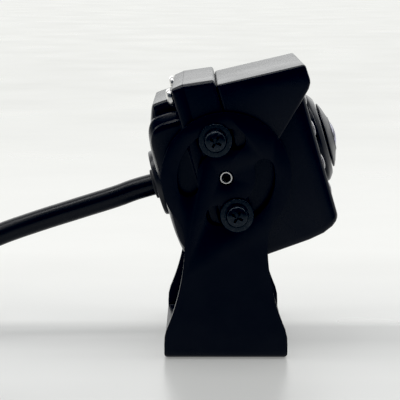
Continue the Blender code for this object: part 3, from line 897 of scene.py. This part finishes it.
def cross_bars(radius, depth, width, top, way, axis, centre):
    """The two tapered bars of a cross recess, each as its own cutter."""
    put = PLACES[axis]
    mouth = (top + way * GAP, radius, width)
    floor = (top - way * depth, radius * 0.4, width * 0.65)
    made = []
    for turn in (45.0, 135.0):
        bm = bmesh.new()
        c, s = math.cos(math.radians(turn)), math.sin(math.radians(turn))
        rings = []
        for along, reach, half in (mouth, floor):
            spots = ((reach, half), (-reach, half), (-reach, -half), (reach, -half))
            rings.append([(centre[0] + x * c - y * s, centre[1] + x * s + y * c, along) for x, y in spots])
        verts = [[bm.verts.new(put(*spot)) for spot in ring] for ring in rings]
        bm.faces.new(verts[0])
        bm.faces.new(verts[1][::-1])
        for i in range(4):
            j = (i + 1) % 4
            bm.faces.new((verts[0][i], verts[1][i], verts[1][j], verts[0][j]))
        made.append(bm)
    return made


def split_washer(outer, inner, low, high, centre, opening=14.0, rise=0.25):
    """A square-section ring with a cut, its two ends sprung apart along Y."""
    bm = bmesh.new()
    count = 60
    rings = []
    for i in range(count + 1):
        share = i / count
        turn = math.radians(opening / 2 + (360 - opening) * share)
        lift = rise * (share - 0.5)
        ring = []
        for radius, along in ((inner, low), (outer, low), (outer, high), (inner, high)):
            x, z = centre[0] + radius * math.cos(turn), centre[1] + radius * math.sin(turn)
            ring.append(bm.verts.new((x, along + lift, z)))
        rings.append(ring)
    for first, second in zip(rings, rings[1:]):
        for i in range(4):
            j = (i + 1) % 4
            bm.faces.new((first[i], first[j], second[j], second[i]))
    bm.faces.new(rings[0][::-1])
    bm.faces.new(rings[-1])
    return bm


def cover_screw(number, spot):
    pan_screw(
        f"cover_fixing_{number}",
        "stainless_steel",
        f"cover_screw_{number}",
        axis="X",
        centre=spot,
        way=-1,
        seat=FLANGE_REAR - GAP,
        tip=2.0,
        radius=COVER_HEAD,
        tall=COVER_HEAD_HEIGHT,
        shaft=COVER_SHAFT,
    )


def tilt_screw(number, side, spot):
    """A tilt screw with its flat washer and its spring washer, on the side given."""
    washer = ARM_OUTER + GAP
    spring = washer + WASHER_SHEET + GAP
    pan_screw(
        f"tilt_fixing_{number}",
        "black_steel",
        f"tilt_screw_{number}",
        axis="Y",
        centre=spot,
        way=side,
        seat=side * (spring + SPRING_SPACE + GAP),
        tip=side * 28.2,
        radius=TILT_HEAD,
        tall=TILT_HEAD_HEIGHT,
        shaft=TILT_SHAFT,
    )
    ends = sorted((side * washer, side * (washer + WASHER_SHEET)))
    flat = tube(WASHER_RADIUS, TILT_HOLE, *ends, "Y", spot)
    make(f"plain_washer_{number}", flat, "black_steel", nodes=[f"flat_washer_{number}"])
    ends = sorted((side * (spring + 0.1), side * (spring + 0.8)))
    split = split_washer(SPRING_RADIUS, TILT_HOLE, *ends, spot)
    make(f"split_washer_{number}", split, "black_steel", nodes=[f"spring_washer_{number}"], edge=0.1)


def fasteners():
    for number, spot in enumerate(COVER_SCREWS, 1):
        cover_screw(number, spot)
    spots = [(side, v) for side in (-1, 1) for v in (-TILT_SCREW_RADIUS, TILT_SCREW_RADIUS)]
    for number, (side, v) in enumerate(spots, 1):
        tilt_screw(number, side, (0.0, v))
    for number, side in enumerate((-1, 1), 1):
        ends = sorted((side * 28.8, side * (ARM_OUTER - 0.1)))
        bush = tube(BUSH_RADIUS, BUSH_BORE, *ends, "Y", steps=48)
        make(f"pivot_ring_{number}", bush, "stainless_steel", nodes=[f"pivot_bush_{number}"])


# ---------------------------------------------------------------- cable


def cable_entry():
    gland = [
        (-15.2, 5.0),
        (-15.2, 6.4),
        (COVER_SEAT - GAP, 6.4),
        (COVER_SEAT - GAP, GLAND_RADIUS),
        (GLAND_REAR, GLAND_RADIUS - 0.3),
        (GLAND_REAR, 5.0),
    ]
    collar = turned(softened(gland, 0.55), steps=80)
    make("gland_collar", collar, "black_plastic", nodes=["cable_gland"])
    grommet = tube(4.7, 3.6, GROMMET_REAR, -14.9, edge=0.4)
    make("lead_grommet", grommet, "black_rubber", nodes=["cable_grommet"])


def tie_bump(share):
    """How much of the tie's thickness lifts the cable there: 1 at the tie on either turn, 0 away from it."""
    away = min(abs(share - TIE_SHARE), abs(share - TIE_SHARE - 1))
    return 1 - smooth_step(away, 0.02, 0.09)


def cable_path():
    """The cable's centreline: out of the grommet, down, once and a quarter round, and into the connector."""
    start = HEAD @ Vector((GROMMET_REAR + 3.0, 0, 0))
    straight = HEAD @ Vector((GROMMET_REAR - 6, 0, 0))
    free = [list(start), list(straight)] + [list(p) for p in LEAD_ROUTE]
    turns = []
    steps = 24
    for i in range(1, round(steps * COIL_TURNS) + 1):
        share = i / steps
        angle = math.radians(-90 - 360 * share)
        radius = COIL_INNER + COIL_PITCH * share
        settle = smooth_step(share, 0.0, 0.14)
        rise = smooth_step(share, COIL_TURNS - 0.12, COIL_TURNS + 0.08)
        height = LEAD_ROUTE[-1][2] + (CABLE_RADIUS - LEAD_ROUTE[-1][2]) * settle
        height += (PLUG_AXIS_HEIGHT - CABLE_RADIUS) * rise
        height += TIE_LIFT * tie_bump(share)
        x = COIL_CENTRE[0] + radius * math.cos(angle)
        y = COIL_CENTRE[1] + radius * math.sin(angle)
        turns.append([x, y, height])
    end = turns[-1]
    tail = [
        [end[0], end[1] + PLUG_START * 0.5, PLUG_AXIS_HEIGHT - 0.5],
        [end[0], end[1] + PLUG_START, PLUG_AXIS_HEIGHT],
        [end[0], end[1] + PLUG_START + 5.0, PLUG_AXIS_HEIGHT],
    ]
    return [Vector(p) for p in smooth_values(free + turns + tail, 4)]


def swept(path, radius, sides=20):
    """A closed tube round a path, with no twist."""
    bm = bmesh.new()
    tangents = [(b - a).normalized() for a, b in zip(path, path[1:])]
    tangents.append(tangents[-1])
    across = Vector((0, 1, 0))
    angles = [2 * math.pi * i / sides for i in range(sides)]
    rings = []
    for spot, tangent in zip(path, tangents):
        across = (across - tangent * across.dot(tangent)).normalized()
        up = tangent.cross(across)
        ways = [across * math.cos(a) + up * math.sin(a) for a in angles]
        rings.append([bm.verts.new(spot + way * radius) for way in ways])
    for first, second in zip(rings, rings[1:]):
        for i in range(sides):
            j = (i + 1) % sides
            bm.faces.new((first[i], first[j], second[j], second[i]))
    bm.faces.new(rings[0][::-1])
    bm.faces.new(rings[-1])
    return bm


def plug():
    """The four-way connector: ribbed overmould, knurled and threaded shell, insert, contacts and seal."""
    x = COIL_CENTRE[0] - COIL_INNER - COIL_PITCH * COIL_TURNS
    y = COIL_CENTRE[1] + PLUG_START
    spot = (x, PLUG_AXIS_HEIGHT)
    grip = [(0, 3.6), (0, 4.4)]
    for step in range(GRIP_RIBS):
        along = 1.6 + step * RIB_PITCH
        swell = 4.5 + step * 0.28
        grip += [(along, swell), (along + 0.3, swell - 0.45)]
        grip += [(along + 0.9, swell - 0.4), (along + 1.2, swell + 0.1)]
    grip += [(11.2, 5.6), (12.4, 7.2), (13.2, 7.6), (20.0, 7.6), (20.0, 3.6)]
    body = turned(softened([(y + s, r) for s, r in grip], 0.2), "Y", spot, 64)
    made = [make("connector_grip", body, "black_rubber", "bracket", ["plug_overmould"])]

    knurls = knurled(SHELL_RADIUS, KNURL_DEPTH, KNURLS, y + 20.3, y + 27.2, spot)
    ring = mesh_object("connector_shell", knurls, HERE)
    sleeve = [(27.0, SLEEVE_BORE), (27.0, 6.9)]
    for turn in range(THREAD_TURNS):
        along = 28.2 + turn * THREAD_PITCH
        sleeve += [(along, THREAD_LOW), (along + 0.3, THREAD_HIGH)]
        sleeve += [(along + 0.6, THREAD_HIGH), (along + 0.9, THREAD_LOW)]
    sleeve += [(37.7, THREAD_LOW), (38.0, 6.5), (38.0, SLEEVE_BORE)]
    shape(ring, "UNION", turned([(y + s, r) for s, r in sleeve], "Y", spot, 64), HERE)
    shape(ring, "DIFFERENCE", rod(SLEEVE_BORE, y + 20.0, y + 38.5, "Y", spot, 64), HERE)
    made.append(finish_piece(ring, "stainless_steel", "bracket", ["plug_shell"]))

    insert = mesh_object("connector_insert", rod(5.9, y + 20.4, y + 36.4, "Y", spot, 64), HERE)
    pockets = bmesh.new()
    for number in range(1, 5):
        turn = math.radians(90 * number - 45)
        hole = (spot[0] + CONTACT_CIRCLE * math.cos(turn), spot[1] + CONTACT_CIRCLE * math.sin(turn))
        rod(1.2, y + 28.0, y + 38.0, "Y", hole, 28, pockets)
        contact = tube(0.85, 0.5, y + 28.4, y + 36.0, "Y", hole, 24, 0.1)
        nodes = ["plug_contact"] if number == 1 else []
        made.append(make(f"contact_{number}", contact, "brass", "bracket", nodes))
    shape(insert, "DIFFERENCE", pockets, HERE)
    keyway_floor = PLUG_AXIS_HEIGHT + 4.6
    keyway = [(x - 0.8, keyway_floor), (x + 0.8, keyway_floor), (x + 0.8, 15.0), (x - 0.8, 15.0)]
    shape(insert, "DIFFERENCE", prism(keyway, y + 30.0, y + 38.0), HERE)
    soften_edges(insert, 0.12)
    made.append(finish_piece(insert, "black_plastic", "bracket", ["plug_insert"]))
    seal = tube(7.9, 7.15, y + 27.5, y + 28.9, "Y", spot, 64, 0.3)
    made.append(make("connector_seal", seal, "black_rubber", "bracket", ["plug_seal"]))
    return made


def knurled(radius, depth, teeth, low, high, centre):
    """A grip ring with straight grooves along it, open for the sleeve that passes through."""
    outline = []
    for tooth in range(teeth):
        for share, inset in ((0.0, 0.0), (0.5, 0.0), (0.62, depth), (0.88, depth)):
            turn = 2 * math.pi * (tooth + share) / teeth
            reach = radius - inset
            outline.append((centre[0] + reach * math.cos(turn), centre[1] + reach * math.sin(turn)))
    x, z = centre
    shrink = [((a - x) * END_SHRINK + x, (b - z) * END_SHRINK + z) for a, b in outline]
    return loft([(low, shrink), (low + 0.45, outline), (high - 0.45, outline), (high, shrink)], "Y")


def coil_tie():
    """A flat strap that holds the two turns together where the coil is doubled."""
    middle = COIL_INNER + COIL_PITCH * (TIE_SHARE + 0.5)
    turn = math.radians(-90 - 360 * TIE_SHARE)
    place = (
        Matrix.Translation((COIL_CENTRE[0], COIL_CENTRE[1], 0))
        @ Matrix.Rotation(turn, 4, "Z")
        @ Matrix.Translation((middle, 0, 0))
    )
    half = COIL_PITCH / 2 + CABLE_RADIUS + 0.15
    high = TIE_LIFT + 2 * CABLE_RADIUS + 0.75
    inner = rounded_box(half, TIE_LIFT - 0.1, high - 0.6, 3.4, 10)
    outer = rounded_box(half + 0.7, 0.1, high + 0.1, 4.0, 10)
    bm = bmesh.new()
    rings = []
    for outline in (inner, outer):
        for along in (-3, 3):
            rings.append([bm.verts.new((a, along, b)) for a, b in outline])
    for i in range(len(inner)):
        j = (i + 1) % len(inner)
        for first, second in ((0, 1), (1, 3), (3, 2), (2, 0)):
            bm.faces.new((rings[first][i], rings[first][j], rings[second][j], rings[second][i]))
    return make("coil_tie", bm, "black_rubber", "bracket", place=place, edge=0.2)


def lead():
    path = cable_path()
    cable = mesh_object("lead", swept(path, CABLE_RADIUS), HERE)
    cable.data.materials.append(COATS["cable_jacket"])
    cable.data.shade_smooth()
    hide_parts("camera_cable", "cable_coil")
    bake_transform(cable)
    plug() + [coil_tie()]


# ---------------------------------------------------------------- studio


def studio():
    mesh = bpy.data.meshes.new("floor")
    bm = bmesh.new()
    bmesh.ops.create_grid(bm, x_segments=1, y_segments=1, size=6.0)
    bm.to_mesh(mesh)
    bm.free()
    floor = bpy.data.objects.new("floor", mesh)
    bpy.context.scene.collection.objects.link(floor)
    floor.data.materials.append(painted_light_floor())
    surroundings()
    for settings in LIGHTS:
        soft_light(*settings)


def painted_light_floor():
    """A pale glossy sweep of painted light: a painted shadow band by the object grows into a glowing backdrop
    behind it.
    """
    s = Shader("floor_painted_light", FLOOR_COLOUR, 0.3)
    s.set("Specular IOR Level", 0.25)
    s.roughness(s.map(s.noise(9.0, 3.0), 0.3, 0.7, 0.26, 0.34))
    place = s.node("ShaderNodeSeparateXYZ")
    s.link(s.coords, place.inputs["Vector"])
    # The ramp's emission is painted light: it makes the floor glow, and it dims to a painted shadow band beside
    # the object.
    ramp = s.node("ShaderNodeValToRGB")
    colour_stops(ramp, [(spot, (light * 0.995, light, light * 0.965)) for spot, light in FLOOR_GLOW])
    s.link(s.map(place.outputs["Y"], *FLOOR_REACH), ramp.inputs["Fac"])
    s.link(ramp.outputs["Color"], s.bsdf.inputs["Emission Color"])
    # From 20 mm to 120 mm behind the object the base colour turns near black, so only the painted glow shows
    # there.
    s.colour(s.mix(s.map(place.outputs["Y"], 0.02, 0.12), FLOOR_COLOUR, (0.03, 0.03, 0.03)))
    s.set("Emission Strength", 1.0)
    return s.material


def colour_stops(ramp, stops):
    elements = ramp.color_ramp.elements
    elements[0].position, elements[1].position = stops[0][0], stops[-1][0]
    elements[0].color, elements[1].color = (*stops[0][1], 1.0), (*stops[-1][1], 1.0)
    for spot, colour in stops[1:-1]:
        elements.new(spot).color = (*colour, 1.0)


def surroundings():
    """A light tent, white at the sides, above and behind, and open and dark where the camera stands."""
    world = bpy.data.worlds.new("studio")
    bpy.context.scene.world = world
    world.use_nodes = True
    tree = world.node_tree
    tree.nodes.clear()
    out = tree.nodes.new("ShaderNodeOutputWorld")
    path = tree.nodes.new("ShaderNodeLightPath")
    mix = tree.nodes.new("ShaderNodeMixShader")
    seen = tree.nodes.new("ShaderNodeBackground")
    seen.inputs["Color"].default_value = (*BACKDROP, 1.0)
    around = tree.nodes.new("ShaderNodeBackground")
    coords = tree.nodes.new("ShaderNodeTexCoord")
    split = tree.nodes.new("ShaderNodeSeparateXYZ")
    share = tree.nodes.new("ShaderNodeMapRange")
    share.inputs["From Min"].default_value = -1.0
    ramp = tree.nodes.new("ShaderNodeValToRGB")
    colour_stops(ramp, TENT_LIGHT)
    tree.links.new(coords.outputs["Generated"], split.inputs[0])
    tree.links.new(split.outputs["Y"], share.inputs["Value"])
    tree.links.new(share.outputs["Result"], ramp.inputs["Fac"])
    tree.links.new(ramp.outputs["Color"], around.inputs["Color"])
    tree.links.new(path.outputs["Is Camera Ray"], mix.inputs[0])
    tree.links.new(around.outputs[0], mix.inputs[1])
    tree.links.new(seen.outputs[0], mix.inputs[2])
    tree.links.new(mix.outputs[0], out.inputs[0])


def soft_light(name, spot, target, size, power):
    data = bpy.data.lights.new(name, "AREA")
    data.shape = "RECTANGLE"
    data.size, data.size_y = size
    data.energy = power
    light = bpy.data.objects.new(name, data)
    bpy.context.scene.collection.objects.link(light)
    light.location = spot
    light.rotation_mode = "QUATERNION"
    light.rotation_quaternion = (Vector(target) - Vector(spot)).to_track_quat("-Z", "Y")


def view_tones():
    """Plain display tones with deep blacks, as in a product picture."""
    tones = bpy.context.scene.view_settings
    tones.view_transform = "Standard"
    tones.use_curve_mapping = True
    tones.curve_mapping.black_level = BLACK_POINT
    tones.curve_mapping.update()


def camera():
    data = bpy.data.cameras.new("camera")
    data.lens = LENS
    data.sensor_width = 36.0
    data.clip_end = 50.0
    eye = bpy.data.objects.new("camera", data)
    bpy.context.scene.collection.objects.link(eye)
    eye.location = EYE
    eye.rotation_euler = (math.radians(90 - PITCH_DOWN), 0, 0)
    bpy.context.scene.camera = eye


camera()
view_tones()
studio()
dress_frame()
lead()
bracket()
front_housing()
rear_cover()
visor()
lens_front()
front_lamps()
fasteners()
cable_entry()
